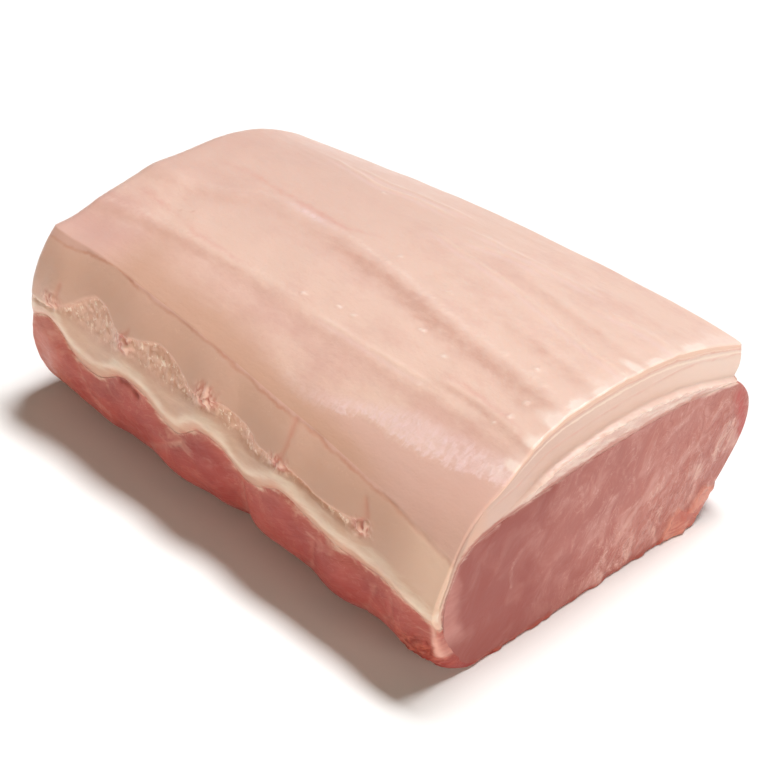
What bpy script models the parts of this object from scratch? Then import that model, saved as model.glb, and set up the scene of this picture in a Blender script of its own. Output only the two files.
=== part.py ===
"""A boneless loin joint of raw pork with its rind on: a slab of lean muscle under a thick cap of fat and skin.

Two pieces are modelled, the lean and the fat cap, each running the whole length of the joint. X runs along the
joint, with the clean cut face at +X. Y runs across it, with the tall wall of fat at -Y. Z is up. The origin is
the centre of the underside.

Each piece starts as a cube cut into a lattice. The lattice is bent to the joint's cross-section, which changes
slowly from the tail end to the cut end.
"""

import bmesh
import bpy
import numpy as np

MM = 0.001

# Driving sizes.
LENGTH = 218 * MM
WIDTH = 145 * MM
HEIGHT = 79 * MM
SEAM_GAP = 0.3 * MM  # kept between the lean and the fat that lies on it

# Lattice cells along the joint, across it and through its height. Both pieces are cut alike along the seam.
FAT_CELLS = (40, 26, 7)
LEAN_CELLS = (40, 26, 7)
EDGE_CROWDING = 0.6  # how much closer the cells lie towards the two long sides
END_LAYERS = (0 * MM, 1.2 * MM, 3.2 * MM, 6.5 * MM)  # distances of the closest layers from either end

# Names in pairs or fives below are values at even stations from the tail end to the cut end.

# Underside: the flat strip that the joint rests on.
NEAR_FOOT = -55 * MM
FAR_FOOT = 48 * MM

# Seam between lean and fat: where it meets the two long sides, and how it arches between them.
NEAR_SEAM_Y = -71 * MM
NEAR_SEAM_Z = (30.5 * MM, 30.5 * MM, 25.5 * MM)
FAR_SEAM_Y = 62 * MM
FAR_SEAM_Z = (44 * MM, 49 * MM, 52 * MM)
SEAM_CREST = (20 * MM, 57 * MM)
SEAM_SAG_SHARE = 0.4  # share of the near drop that is a gentle sag, the rest rolls over at the edge
SEAM_ROLL_POWER = 12

# Rind: its two long edges and its crown.
NEAR_EDGE_Y = (-61 * MM, -60 * MM, -64 * MM)
NEAR_EDGE_Z = (70 * MM, 67 * MM, 61.5 * MM, 55.5 * MM, 47.5 * MM)
FAR_EDGE_Y = (62.5 * MM, 65 * MM)
FAR_EDGE_Z = (55 * MM, 61.5 * MM, 66.5 * MM, 69 * MM, 65 * MM)
CROWN_Y = 8 * MM
CROWN_Z = (HEIGHT - 1.5 * MM, HEIGHT - 0.4 * MM)
NEAR_FALL_POWER = (1.8, 3.0)
FAR_FALL_POWER = 2.1

# Terraces on the rind, where the skin is drawn into long folds and steps up towards the far side: place across,
# at the tail and at the cut, height of the step and how wide it is.
RIND_FOLDS = (
    ((-41 * MM, -32 * MM), 0.8 * MM, 4.0 * MM),
    ((8 * MM, -20 * MM), 0.8 * MM, 5.0 * MM),
    ((36 * MM, 15 * MM), 0.3 * MM, 3.0 * MM),
)

# Lobes of muscle along the near side: place along the joint, half width, how far the seam climbs over the lobe
# and how far the lobe bulges. One is a notch between two lobes, and bulges inwards.
LOBES = (
    (-91 * MM, 10 * MM, 5.5 * MM, 1.6 * MM),
    (-45 * MM, 15 * MM, 6.0 * MM, 0.6 * MM),
    (-27 * MM, 16 * MM, 0.0 * MM, 1.4 * MM),
    (-3 * MM, 13 * MM, 6.0 * MM, 1.4 * MM),
    (9 * MM, 7 * MM, 0.0 * MM, -3.2 * MM),
    (35 * MM, 12 * MM, 5.5 * MM, 1.6 * MM),
    (61 * MM, 11 * MM, 4.0 * MM, 2.6 * MM),
    (94 * MM, 10 * MM, 1.5 * MM, 2.2 * MM),
)

# Ragged band of torn membrane on the near side, above a strip of inner fat. It narrows towards the cut end.
BAND_START = 6 * MM  # above the seam
BAND_TOP_Z = (44 * MM, 59 * MM, 56 * MM, 47 * MM, 40 * MM)
BAND_END_X = 76 * MM
BAND_DEPTH = 2.0 * MM
BAND_BLEND = 2.5 * MM

# The cut end: the knife left the outer fat a little further back than the lean.
CUT_STEP = 2.0 * MM
CUT_STEP_PLACE = (0.43, 0.57)  # shares of the fat's thickness, from the seam
CUT_ROUNDING = 0.8 * MM

# The tail end: its belly reaches furthest, its rind and its toe lie back from there, and its rim is rounded.
TAIL_BELLY_Z = 25 * MM
TAIL_TOE = 7 * MM
TAIL_LEAN_BACK = 7.5 * MM
TAIL_ROUNDING = 5 * MM
ROUNDING_CENTRE_Z = 35 * MM


def blend(stations, along):
    """A smooth curve through values at even stations from the tail end (along 0) to the cut end (along 1)."""
    places = np.linspace(0, 1, len(stations))
    return np.polyval(np.polyfit(places, stations, len(stations) - 1), along)


def smoothstep(low, high, value):
    share = np.clip((value - low) / (high - low), 0, 1)
    return share * share * (3 - 2 * share)


def bezier(points, t):
    """(y, z) on a cubic curve from the first point to the last."""
    a, b, c, d = points
    weights = ((1 - t) ** 3, 3 * t * (1 - t) ** 2, 3 * t * t * (1 - t), t**3)
    return tuple(
        sum(weight * point[axis] for weight, point in zip(weights, (a, b, c, d)))
        for axis in (0, 1)
    )


def lobes(x):
    """How far the seam climbs and how far the lean bulges at a place along the joint."""
    rise = 0 * x
    bulge = 0 * x
    for centre, half_width, lobe_rise, lobe_bulge in LOBES:
        bump = np.exp(-(((x - centre) / half_width) ** 2))
        rise = rise + lobe_rise * bump
        bulge = bulge + lobe_bulge * bump
    return rise, bulge


def near_seam(x, along):
    """Where the seam between lean and fat comes out on the near side."""
    rise, bulge = lobes(x)
    return NEAR_SEAM_Y - bulge / 3, blend(NEAR_SEAM_Z, along) + rise


def seam(x, along, across):
    """The seam's arch, from the near side (across 0) to the far side (across 1)."""
    near_y, near_z = near_seam(x, along)
    far_z = blend(FAR_SEAM_Z, along)
    y = near_y + (FAR_SEAM_Y - near_y) * across
    crest_y, crest_z = SEAM_CREST
    near = np.clip((crest_y - y) / (crest_y - near_y), 0, 1)
    far = np.clip((y - crest_y) / (FAR_SEAM_Y - crest_y), 0, 1)
    drop = SEAM_SAG_SHARE * near**2 + (1 - SEAM_SAG_SHARE) * near**SEAM_ROLL_POWER
    z = crest_z - (crest_z - near_z) * drop - (crest_z - far_z) * far**2
    return y, z


def lean_seam(x, along, across):
    """The same arch drawn back into the lean by the seam gap, square to the arch."""
    step = 1e-4
    y, z = seam(x, along, across)
    y_before, z_before = seam(x, along, across - step)
    y_after, z_after = seam(x, along, across + step)
    run, rise = y_after - y_before, z_after - z_before
    size = np.hypot(run, rise)
    return y + SEAM_GAP * rise / size, z - SEAM_GAP * run / size


def rind(x, along, across):
    """The rind's dome, from its near edge to its far edge, with the long folds in it."""
    near_y = blend(NEAR_EDGE_Y, along)
    far_y = blend(FAR_EDGE_Y, along)
    y = near_y + (far_y - near_y) * across
    crown_z = blend(CROWN_Z, along)
    near = np.clip((CROWN_Y - y) / (CROWN_Y - near_y), 0, 1)
    far = np.clip((y - CROWN_Y) / (far_y - CROWN_Y), 0, 1)
    near_fall = (crown_z - blend(NEAR_EDGE_Z, along)) * near ** blend(NEAR_FALL_POWER, along)
    far_fall = (crown_z - blend(FAR_EDGE_Z, along)) * far**FAR_FALL_POWER
    z = crown_z - near_fall - far_fall
    for place, height, width in RIND_FOLDS:
        offset = (y - blend(place, along)) / width
        z = z + height * offset * np.exp(0.5 - offset * offset)
    return y, z


def near_wall(x, along, up):
    """The wall of fat on the near side, from the seam up to the rind's edge, with its ragged band."""
    foot = near_seam(x, along)
    head = rind(x, along, 0 * x)
    third = (head[1] - foot[1]) / 3
    low = (foot[0] - 2 * MM, foot[1] + third)
    high = (foot[0] + 1.5 * MM, foot[1] + 2 * third)
    y, z = bezier([foot, low, high, head], up)
    band_foot = foot[1] + BAND_START
    band_head = blend(BAND_TOP_Z, along)
    inside = smoothstep(0, BAND_BLEND, z - band_foot) * smoothstep(0, BAND_BLEND, band_head - z)
    inside = inside * smoothstep(BAND_END_X, BAND_END_X - 25 * MM, x)
    return y + BAND_DEPTH * inside, z


def far_wall(x, along, up):
    """The low wall of fat on the far side, nearly upright."""
    foot = seam(x, along, 1 + 0 * x)
    head = rind(x, along, 1 + 0 * x)
    low = (head[0] - 0.5 * MM, foot[1] + 1 * MM)
    high = (head[0] + 1 * MM, head[1] - 4 * MM)
    return bezier([foot, low, high, head], up)


def near_belly(x, along, up):
    """The lean's near side, bulging between the underside and the seam, lobe by lobe."""
    bulge = lobes(x)[1]
    foot = (NEAR_FOOT + 0 * x, 0 * x)
    head = lean_seam(x, along, 0 * x)
    low = (NEAR_FOOT - 14 * MM - 1.2 * bulge, 0 * x)
    high = (head[0] - 2.9 * MM - 1.1 * bulge, head[1] - 15 * MM)
    return bezier([foot, low, high, head], up)


def far_belly(x, along, up):
    """The lean's far side, which hangs well out over the underside."""
    foot = (FAR_FOOT + 0 * x, 0 * x)
    head = lean_seam(x, along, 1 + 0 * x)
    low = (foot[0] + 10 * MM, 12 * MM + 0 * x)
    high = (head[0] + 28.5 * MM, head[1] - 17 * MM)
    return bezier([foot, low, high, head], up)


def underside(x, along, across):
    return NEAR_FOOT + (FAR_FOOT - NEAR_FOOT) * across, 0 * x


def fill(below, above, near, far, x, along, across, up):
    """(y, z) inside a section bounded by four curves: their sum, less the corners that it counts twice."""
    zero, one = 0 * x, 0 * x + 1
    filled = []
    for axis in (0, 1):
        edges = (
            (1 - up) * below(x, along, across)[axis]
            + up * above(x, along, across)[axis]
            + (1 - across) * near(x, along, up)[axis]
            + across * far(x, along, up)[axis]
        )
        corners = (
            (1 - across) * (1 - up) * below(x, along, zero)[axis]
            + across * (1 - up) * below(x, along, one)[axis]
            + (1 - across) * up * above(x, along, zero)[axis]
            + across * up * above(x, along, one)[axis]
        )
        filled.append(edges - corners)
    return filled


def lean_section(x, along, across, up):
    return fill(underside, lean_seam, near_belly, far_belly, x, along, across, up)


def fat_section(x, along, across, up):
    return fill(seam, rind, near_wall, far_wall, x, along, across, up)


def place_layers(share, cells):
    """Layers along the joint: close together at either end, even between."""
    from_tail = np.array(END_LAYERS) - LENGTH / 2
    between = np.linspace(from_tail[-1], -from_tail[-1], cells - 2 * len(END_LAYERS) + 3)
    places = np.concatenate([from_tail, between[1:-1], -from_tail[::-1]])
    return places[np.round(share * cells).astype(int)]


def rounding(distance, radius):
    """How far in a rim of this radius has drawn, at a distance from the end."""
    left = np.clip(radius - distance, 0, radius)
    return radius - np.sqrt(radius**2 - left**2)


def bend_lattice(share, cells, section, step_back):
    """The joint's form for lattice points given as shares (0 to 1) along, across and up."""
    x = place_layers(share[:, 0], cells[0])
    across = share[:, 1] - EDGE_CROWDING * np.sin(2 * np.pi * share[:, 1]) / (2 * np.pi)
    up = share[:, 2]
    along = x / LENGTH + 0.5
    y, z = section(x, along, across, up)
    inset = rounding(x + LENGTH / 2, TAIL_ROUNDING) + rounding(LENGTH / 2 - x, CUT_ROUNDING)
    shrink = 2 * inset / WIDTH
    y = y - shrink * y
    z = z - shrink * (z - ROUNDING_CENTRE_Z)
    above = np.clip((z - TAIL_BELLY_Z) / (HEIGHT - TAIL_BELLY_Z), 0, 1)
    below = np.clip((TAIL_BELLY_Z - z) / TAIL_BELLY_Z, 0, 1)
    tail_share = smoothstep(0.45, 0, along)
    x = x + tail_share * (TAIL_LEAN_BACK * above**1.2 + TAIL_TOE * below**2)
    x = x - step_back * smoothstep(0.9, 1, along) * smoothstep(*CUT_STEP_PLACE, up)
    return np.stack([x, y, z], axis=1)


def lattice(cells):
    """A cube from 0 to 1 whose faces are cut into the given number of cells along each axis."""
    mesh = bmesh.new()
    bmesh.ops.create_cube(mesh, size=1)
    bmesh.ops.translate(mesh, verts=mesh.verts, vec=(0.5, 0.5, 0.5))
    for axis, count in enumerate(cells):
        along_axis = [
            edge for edge in mesh.edges if abs(edge.verts[0].co[axis] - edge.verts[1].co[axis]) > 0.5
        ]
        bmesh.ops.subdivide_edges(mesh, edges=along_axis, cuts=count - 1)
    return mesh


def make_material(name, colour, roughness):
    material = bpy.data.materials.new(name)
    material.use_nodes = True
    shader = material.node_tree.nodes["Principled BSDF"]
    shader.inputs["Base Color"].default_value = (*colour, 1)
    shader.inputs["Roughness"].default_value = roughness
    shader.inputs["Metallic"].default_value = 0
    return material


def make_piece(name, cells, section, step_back, material, collection):
    """One solid of the joint: a lattice cube bent to the joint's form."""
    form = lattice(cells)
    share = np.array([vertex.co[:] for vertex in form.verts])
    for vertex, place in zip(form.verts, bend_lattice(share, cells, section, step_back)):
        vertex.co = place
    bmesh.ops.recalc_face_normals(form, faces=form.faces)
    mesh = bpy.data.meshes.new(name)
    form.to_mesh(mesh)
    form.free()
    mesh.shade_smooth()
    mesh.materials.append(material)
    piece = bpy.data.objects.new(name, mesh)
    collection.objects.link(piece)
    return piece


def main():
    for old in list(bpy.data.objects):
        bpy.data.objects.remove(old)
    joint = bpy.data.collections.new("pork_loin_joint")
    bpy.context.scene.collection.children.link(joint)
    muscle = make_material("raw_lean", (0.52, 0.20, 0.16), 0.4)
    skin = make_material("rind_and_fat", (0.86, 0.63, 0.52), 0.45)
    make_piece("lean", LEAN_CELLS, lean_section, 0, muscle, joint)
    make_piece("fat_cap", FAT_CELLS, fat_section, CUT_STEP, skin, joint)


main()
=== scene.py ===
"""The looks of a raw pork loin joint: rind, side fat with its torn membrane, lean side and lean cut face.

Sizes are in millimetres, and become metres when a mesh is made. X runs along the joint to its cut face,
Y runs across it from the tall wall of fat to the far side, and Z is up.
"""

import math

import bmesh
import bpy
import numpy as np
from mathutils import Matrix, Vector, noise


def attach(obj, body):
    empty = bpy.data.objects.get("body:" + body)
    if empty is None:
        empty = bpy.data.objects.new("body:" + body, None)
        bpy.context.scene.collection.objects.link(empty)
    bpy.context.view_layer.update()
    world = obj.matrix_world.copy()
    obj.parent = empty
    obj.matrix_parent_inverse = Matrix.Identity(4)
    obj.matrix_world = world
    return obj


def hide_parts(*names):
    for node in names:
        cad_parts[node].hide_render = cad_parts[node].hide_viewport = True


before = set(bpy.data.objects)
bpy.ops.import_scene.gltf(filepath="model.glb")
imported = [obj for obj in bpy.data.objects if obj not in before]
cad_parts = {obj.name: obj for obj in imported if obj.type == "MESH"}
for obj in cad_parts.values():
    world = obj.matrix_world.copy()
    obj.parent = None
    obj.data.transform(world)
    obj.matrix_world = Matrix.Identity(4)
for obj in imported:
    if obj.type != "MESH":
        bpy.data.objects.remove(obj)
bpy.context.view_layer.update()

MM = 0.001

# --------------------------------------------------------------------------------------------------
# Sizes shared with the solids
# --------------------------------------------------------------------------------------------------

LENGTH = 218
WIDTH = 145
HEIGHT = 79
HALF = LENGTH / 2
SEAM_GAP = 0.05  # kept between the lean and the fat

EDGE_CROWDING = 0.25  # how much closer the cells lie towards the two long sides
END_LAYERS = (0, 1.2, 3.2, 6.5)  # distances of the closest layers from either end
END_CELLS = 40  # cells along the joint that the end layers belong to

# Names in pairs, threes or fives below are values at even stations from the tail end to the cut end.

NEAR_FOOT = -55
FAR_FOOT = 48
NEAR_SEAM_Y = -71
FAR_SEAM_Y = 62
FAR_SEAM_Z = (44, 49, 52)
SEAM_CREST = (20, 57)
SEAM_SAG_SHARE = 0.4  # share of the near drop that is a gentle sag, the rest rolls over at the edge
SEAM_ROLL_POWER = 12
CUT_SEAM_START = 40  # the seam turns squarer from here to the cut
CUT_SEAM_SAG_SHARE = 0.45
CUT_SEAM_SAG_POWER = 3.5
CUT_SEAM_ROLL_POWER = 40

NEAR_EDGE_Y = (-61, -60, -64)
NEAR_EDGE_Z = (70, 67, 61.5, 55.5, 47.5)
FAR_EDGE_Y = (62.5, 65)
FAR_EDGE_Z = (55, 61.5, 66.5, 69, 65)
CROWN_Y = 8
CROWN_Z = (77.5, 78.6)
NEAR_FALL_POWER = (1.8, 3.0)
FAR_FALL_POWER = 2.1

TAIL_REACH = 0.45  # share of the length over which the tail leans back
TAIL_BELLY_Z = 25
TAIL_TOE = 7
TAIL_LEAN_BACK = 7.5
TAIL_LEAN_POWER = 1.2
TAIL_ROUNDING = 5
ROUNDING_CENTRE_Z = 35
CUT_ROUNDING = 0.8

# Lobes of muscle along the near side: place along the joint, half width, how far the lobe bulges.
LOBES = (
    (-91, 10, 1.6),
    (-45, 15, 0.6),
    (-27, 16, 1.4),
    (-3, 13, 1.4),
    (9, 7, -3.2),
    (35, 12, 1.6),
    (61, 11, 2.6),
    (94, 10, 2.2),
)

# --------------------------------------------------------------------------------------------------
# Near side: places along the joint and heights
# --------------------------------------------------------------------------------------------------

LEAN_TOP = (
    (-109, 33), (-91, 38), (-80, 29), (-67, 26.5), (-50, 34.5), (-40, 34), (-20, 27.5), (-8, 35), (2, 34.5),
    (12, 28), (22, 29), (34, 34.5), (48, 31), (72, 28.5), (90, 29), (109, 24),
)
TEAR_TOP = (
    (-109, 43), (-86, 47.5), (-72, 56), (-54, 51), (-34, 55.5), (-12, 48.5), (3, 50), (26, 44), (35, 45.5),
    (48, 43), (68, 43), (74, 44.5), (80, 39), (109, 34),
)
TEAR_FOOT = (
    (-109, 41), (-86, 44), (-70, 41), (-46, 44.5), (-26, 42), (-3, 45), (17, 39.5), (36, 42), (72, 38.5),
    (80, 38.5), (109, 34),
)
TEAR_DEPTH = 1.2
TEAR_LIP = 0.12  # how far the wall's edge stands out over the tear
STREAK_BULGE = 0.9  # inner fat between the tear and the lean
EDGE_CREASE = 0.22  # depth of the crease along the edge of the skin
EDGE_DROP = (  # how far that edge lies below the rind's dome
    (-109, 4), (-98, 3), (-84, 1.4), (-70, 0.2), (-50, 1.2), (-20, 0.4), (30, 1.2), (60, 0.8), (109, 1.6),
)

# Corners of the cut, each growing towards it between two places along the joint.
CORNER_RADIUS = (6, 1.2)  # of the near corner, at its foot and above it
CORNER_HEIGHTS = (9, 24)
SHOULDER = (-57, 56, 16, 3.4)  # fuller fat: place across, height, reach, how far it stands out
SHOULDER_START = (40, 100)
SHOULDER_SLANT = 0.7  # share of it that goes out, and that goes up
NEAR_LIP = (33, 10, 2.0)  # the wall's foot: height, half height, how far it stands out
NEAR_LIP_START = (70, 105)
FAR_CORNER = (64, 58, 10, 3.4)  # place across, height, reach, how far it stands out
FAR_CORNER_START = (55, 105)

BLOODY_TUFTS = (  # place, height, half length, half height
    (-93, 47.5, 5, 3),
    (-51.5, 48.8, 5, 3.4),
    (-6, 49.5, 5.5, 3.6),
    (32.5, 44.5, 5, 2.4),
    (71.5, 41.5, 4, 2.4),
)
VEINS = (
    ((31.5, 57), (33.5, 51), (33, 45)),
    ((70, 49), (73, 45), (71, 42)),
    ((-90, 55), (-91, 47)),
    ((-50, 54), (-51, 50)),
    ((-8.5, 53), (-7.5, 49)),
)
CREVICE = ((-52, 33.2), (-47, 33.4), (-42, 31.6))

# --------------------------------------------------------------------------------------------------
# Rind: places along the joint and across it
# --------------------------------------------------------------------------------------------------

# Long furrows stepping up towards the far side, with painted shade on their near slopes: middle, strength
# along it, half width, depth.
FURROWS = (
    (
        ((-109, -22), (-75, -15), (-58, -6), (-35.5, -4.5), (-18.5, -3), (-1, -5), (15, -6), (37, -10.5),
         (55.5, -13), (73, -14.5), (109, -20)),
        ((-109, 0.3), (-60, 0.4), (-25, 0.4), (0, 0.85), (40, 0.95), (70, 0.8), (109, 0.6)),
        4.8,
        0.6,
    ),
    (
        ((-109, -45), (-75, -39.5), (-48, -37), (-25, -35.5), (4, -36), (30, -37), (61, -36.5), (90, -37),
         (109, -39)),
        ((-109, 0.5), (-75, 0.7), (-45, 0.7), (-15, 0.45), (30, 0.35), (109, 0.3)),
        3.4,
        0.35,
    ),
    (((58, -31), (77, -30), (92, -31.5), (109, -34)), ((58, 0), (72, 0.6), (109, 0.7)), 2.0, 0.3),
    (((40, 9), (60, 4), (80, 1), (109, -4)), ((40, 0), (60, 0.35), (109, 0.45)), 3.0, 0.2),
    (((30, 30), (60, 25), (85, 21), (109, 18)), ((30, 0), (55, 0.35), (109, 0.35)), 2.6, 0.2),
)
# Fine raised folds, with a painted highlight on their crests and painted shade beside them: path, height,
# width.
FOLDS = (
    (((0, 27), (17, 24.5), (44.5, 21.5), (67, 17), (81.5, 13.5), (109, 10)), 0.4, 1.1),
    (((7.5, 39), (31, 40), (48.5, 41), (70, 41)), 0.35, 1.2),
    (((-71, 40), (-50, 38), (-35.5, 37), (-23.5, 40.5), (-3.5, 42)), 0.5, 1.3),
    (((-58, 43), (-40, 43), (-22, 46), (0, 48)), 0.4, 1.3),
    (((12, 31), (30, 35), (48, 36.5)), 0.3, 1.3),
    (((74, 34), (88, 35.7), (109, 34.5)), 0.4, 1.6),
    (((8, -33), (26.5, -33), (45, -32.5), (62, -32)), 0.35, 0.9),
)
SMALL_MARKS = ((-40, -59.5), (-71, -25), (-75.5, -27.5))  # brownish
SPECKS = (  # small pale grains, painted with white glints
    (-2, -29), (12, -26), (20, -26), (42.5, -17), (57, -21.5), (59.5, -34), (7.5, 6), (34.5, 3), (47.5, 2),
    (92.5, -20.5), (84.5, -7), (93, -28), (90.5, -32), (-31.5, 33.5),
)
PALE_PATCH = (-36, 1.8, 12, 1.7)  # place along, place across, half length, half width
HIGHLIGHT_PATCHES = (  # painted highlights where the ridges end at the cut: place along, place across, half length, half width
    (108, -39.5, 4, 1.6),
    (107.5, -30.5, 5, 2.2),
    (106.5, -20.5, 8, 3.2),
    (108, -11, 5, 3.6),
    (107, -1, 3, 3),
    (105, 16.5, 6, 2.0),
    (107.5, 24, 3, 3),
    (107.5, 43, 4, 5),
)
PINK_LINES = (
    ((-90, 3), (-73.5, 4.5), (-43, 4.5), (-27, 4.5), (-16, 6), (-6.5, 9.5)),
    ((62, -27), (77, -26.5), (92, -28.5), (107, -32)),
    ((-100, -29), (-80, -29.5), (-55, -32), (-28, -31)),
)
FLANK_TOP = (  # where the rind turns tan, partly painted shade, above the near wall
    (-109, -57), (-60, -53.5), (-10, -54.5), (40, -54.5), (50, -51.5), (64, -51), (84, -48), (109, -44.5),
)
LAVENDER_TOP = ((-109, -53), (10, -52.5), (38, -50.5), (52, -45.5), (67, -41.5), (84, -40.5), (109, -38))

# --------------------------------------------------------------------------------------------------
# Cut face: places across the joint and heights
# --------------------------------------------------------------------------------------------------

SKIN_THICKNESS = 2.2
PINK_LAYER = ((-66, 46), (-53, 57.5), (-38, 63.5), (-26, 67.5), (-6, 69.7), (19, 70.2), (45, 68), (66, 60.5))
LEDGE = (
    (-72, 24), (-62, 42), (-45, 53.6), (-34, 57.8), (-22, 61.6), (0, 64), (22, 63.6), (47, 58.5), (66, 51),
)
LEDGE_STEP = 2.0
FLAP_TOP = ((30, -2), (33, 4), (35, 8), (39, 10), (46, 9), (51, 12), (57, 11.5), (62, 8))  # a second muscle
CUT_VEINS = (
    ((-13, 51.5), (-9, 41), (-9, 35), (-13, 28), (-15, 18)),
    ((15.5, 34.5), (18, 23), (16, 16), (18.5, 5.5)),
    ((35, 32), (37, 26), (34, 20.5), (33, 15)),
    ((53, 35), (46, 27), (39.5, 23)),
    ((-37.5, 37.5), (-41, 31), (-41.5, 23.5)),
    ((8, 46), (11.5, 35.5), (9.5, 28)),
    ((58, 47), (52, 39), (47, 36)),
)
PALE_BAND = ((70, 40), (59, 28), (49, 22), (40, 18), (27, 13), (6, 5))  # thin pale tissue over the cut
RED_RIM = ((66.5, 45.5), (69.5, 39.5), (71, 33), (71.5, 28))
FAR_CAP = (44, 56)  # a pale cap covers the lean past these places across
FOOT_ROLL = (0.4, 2.0)  # how far the foot of the cut face rolls under, and from what height
FRAY_EDGE = ((106.5, 26), (107.5, 19), (108, 12))
FRAY = (101, 11, 9, 7)  # torn end of the near lobe: place along, height, half length, half height

# --------------------------------------------------------------------------------------------------
# Curves, patches and noise
# --------------------------------------------------------------------------------------------------

SEED_STEP = 31.7  # how far apart in the noise two seeds lie
MOTTLE_FADING = 0.9  # how much weaker each finer octave is, as a power
MOTTLE_REFINING = 2.1  # how many times finer it is


def follow(path, places):
    """A smooth curve through the path's points, at places along it."""
    along, value = np.array(path, dtype=float).T
    slope = np.gradient(value, along)
    piece = np.clip(np.searchsorted(along, places) - 1, 0, len(along) - 2)
    run = along[piece + 1] - along[piece]
    t = np.clip((places - along[piece]) / run, 0, 1)
    return (
        (1 + 2 * t) * (1 - t) ** 2 * value[piece]
        + t * (1 - t) ** 2 * run * slope[piece]
        + t * t * (3 - 2 * t) * value[piece + 1]
        - t * t * (1 - t) * run * slope[piece + 1]
    )


def smoothstep(low, high, value):
    """0 at low, 1 at high and smooth between. Low may be the larger."""
    share = np.clip((value - low) / (high - low), 0, 1)
    return share * share * (3 - 2 * share)


def hill(distance, width):
    """A soft bump of height 1."""
    return np.exp(-((distance / width) ** 2))


def oval(u, v, place):
    """A soft patch of height 1 round a place given as (u, v, half width, half height)."""
    return np.exp(-(((u - place[0]) / place[2]) ** 2) - ((v - place[1]) / place[3]) ** 2)


def span(path, places, length=9):
    """1 along the path, fading out past either end of it unless it ends at an end of the joint."""
    start, end = path[0][0], path[-1][0]
    rise = smoothstep(start - length / 2, start + length, places) if start > -HALF else 1
    fall = smoothstep(end + length / 2, end - length, places) if end < HALF else 1
    return rise * fall


def near_line(path, u, v):
    """Distance of each point (u, v) from a broken line."""
    nearest = np.full(np.shape(u), 1e3)
    for (u0, v0), (u1, v1) in zip(path, path[1:]):
        run, rise = u1 - u0, v1 - v0
        share = np.clip(((u - u0) * run + (v - v0) * rise) / (run * run + rise * rise), 0, 1)
        nearest = np.minimum(nearest, np.hypot(u - u0 - share * run, v - v0 - share * rise))
    return nearest


def mottle(places, size, seed, octaves=3, stretch=(1, 1, 1)):
    """Smooth noise between about -1 and 1. Size is that of its largest blotches."""
    scaled = places / size / np.array(stretch) + SEED_STEP * seed
    kind = (MOTTLE_FADING, MOTTLE_REFINING, octaves)
    return np.array([noise.fractal(Vector(place), *kind) for place in scaled])


# --------------------------------------------------------------------------------------------------
# The joint's section, in the solids' form
# --------------------------------------------------------------------------------------------------


def blend(stations, along):
    """A smooth curve through values at even stations from the tail end (along 0) to the cut end (along 1)."""
    places = np.linspace(0, 1, len(stations))
    return np.polyval(np.polyfit(places, stations, len(stations) - 1), along)


def bezier(points, t):
    """(y, z) on a cubic curve from the first point to the last."""
    weights = ((1 - t) ** 3, 3 * t * (1 - t) ** 2, 3 * t * t * (1 - t), t**3)
    return tuple(sum(weight * point[axis] for weight, point in zip(weights, points)) for axis in (0, 1))


def lobe_bulge(x):
    """How far the near side bulges at a place along the joint."""
    return sum(bulge * hill(x - centre, half_width) for centre, half_width, bulge in LOBES)


def near_seam(x):
    """Where the seam between lean and fat comes out on the near side."""
    return NEAR_SEAM_Y - lobe_bulge(x) / 3, follow(LEAN_TOP, x)


def seam(x, along, across):
    """The seam's arch, from the near side (across 0) to the far side (across 1)."""
    near_y, near_z = near_seam(x)
    y = near_y + (FAR_SEAM_Y - near_y) * across
    crest_y, crest_z = SEAM_CREST
    near = np.clip((crest_y - y) / (crest_y - near_y), 0, 1)
    far = np.clip((y - crest_y) / (FAR_SEAM_Y - crest_y), 0, 1)
    drop = SEAM_SAG_SHARE * near**2 + (1 - SEAM_SAG_SHARE) * near**SEAM_ROLL_POWER
    sag = CUT_SEAM_SAG_SHARE * near**CUT_SEAM_SAG_POWER
    drop_at_cut = sag + (1 - CUT_SEAM_SAG_SHARE) * near**CUT_SEAM_ROLL_POWER
    drop = drop + (drop_at_cut - drop) * smoothstep(CUT_SEAM_START, HALF, x)
    return y, crest_z - (crest_z - near_z) * drop - (crest_z - blend(FAR_SEAM_Z, along)) * far**2


def lean_seam(x, along, across):
    """The same arch lowered by the gap between lean and fat."""
    y, z = seam(x, along, across)
    return y, z - SEAM_GAP


def rind(x, along, across):
    """The rind's dome, from its near edge to its far edge."""
    near_y = blend(NEAR_EDGE_Y, along)
    far_y = blend(FAR_EDGE_Y, along)
    y = near_y + (far_y - near_y) * across
    crown_z = blend(CROWN_Z, along)
    near = np.clip((CROWN_Y - y) / (CROWN_Y - near_y), 0, 1)
    far = np.clip((y - CROWN_Y) / (far_y - CROWN_Y), 0, 1)
    near_fall = (crown_z - blend(NEAR_EDGE_Z, along)) * near ** blend(NEAR_FALL_POWER, along)
    far_fall = (crown_z - blend(FAR_EDGE_Z, along)) * far**FAR_FALL_POWER
    return y, crown_z - near_fall - far_fall


def near_wall(x, along, up):
    """The wall of fat on the near side, from the seam up to the rind's edge."""
    foot = near_seam(x)
    head = rind(x, along, 0 * x)
    third = (head[1] - foot[1]) / 3
    return bezier([foot, (foot[0] - 2, foot[1] + third), (foot[0] + 1.5, foot[1] + 2 * third), head], up)


def far_wall(x, along, up):
    """The low wall of fat on the far side, nearly upright."""
    foot = seam(x, along, 1 + 0 * x)
    head = rind(x, along, 1 + 0 * x)
    return bezier([foot, (head[0] - 0.5, foot[1] + 1), (head[0] + 1, head[1] - 4), head], up)


def near_belly(x, along, up):
    """The lean's near side, bulging between the underside and the seam, lobe by lobe."""
    bulge = lobe_bulge(x)
    head = lean_seam(x, along, 0 * x)
    low = (NEAR_FOOT - 14 - 1.2 * bulge, 0 * x)
    high = (head[0] - 2.9 - 1.1 * bulge, head[1] - 15)
    return bezier([(NEAR_FOOT + 0 * x, 0 * x), low, high, head], up)


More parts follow.
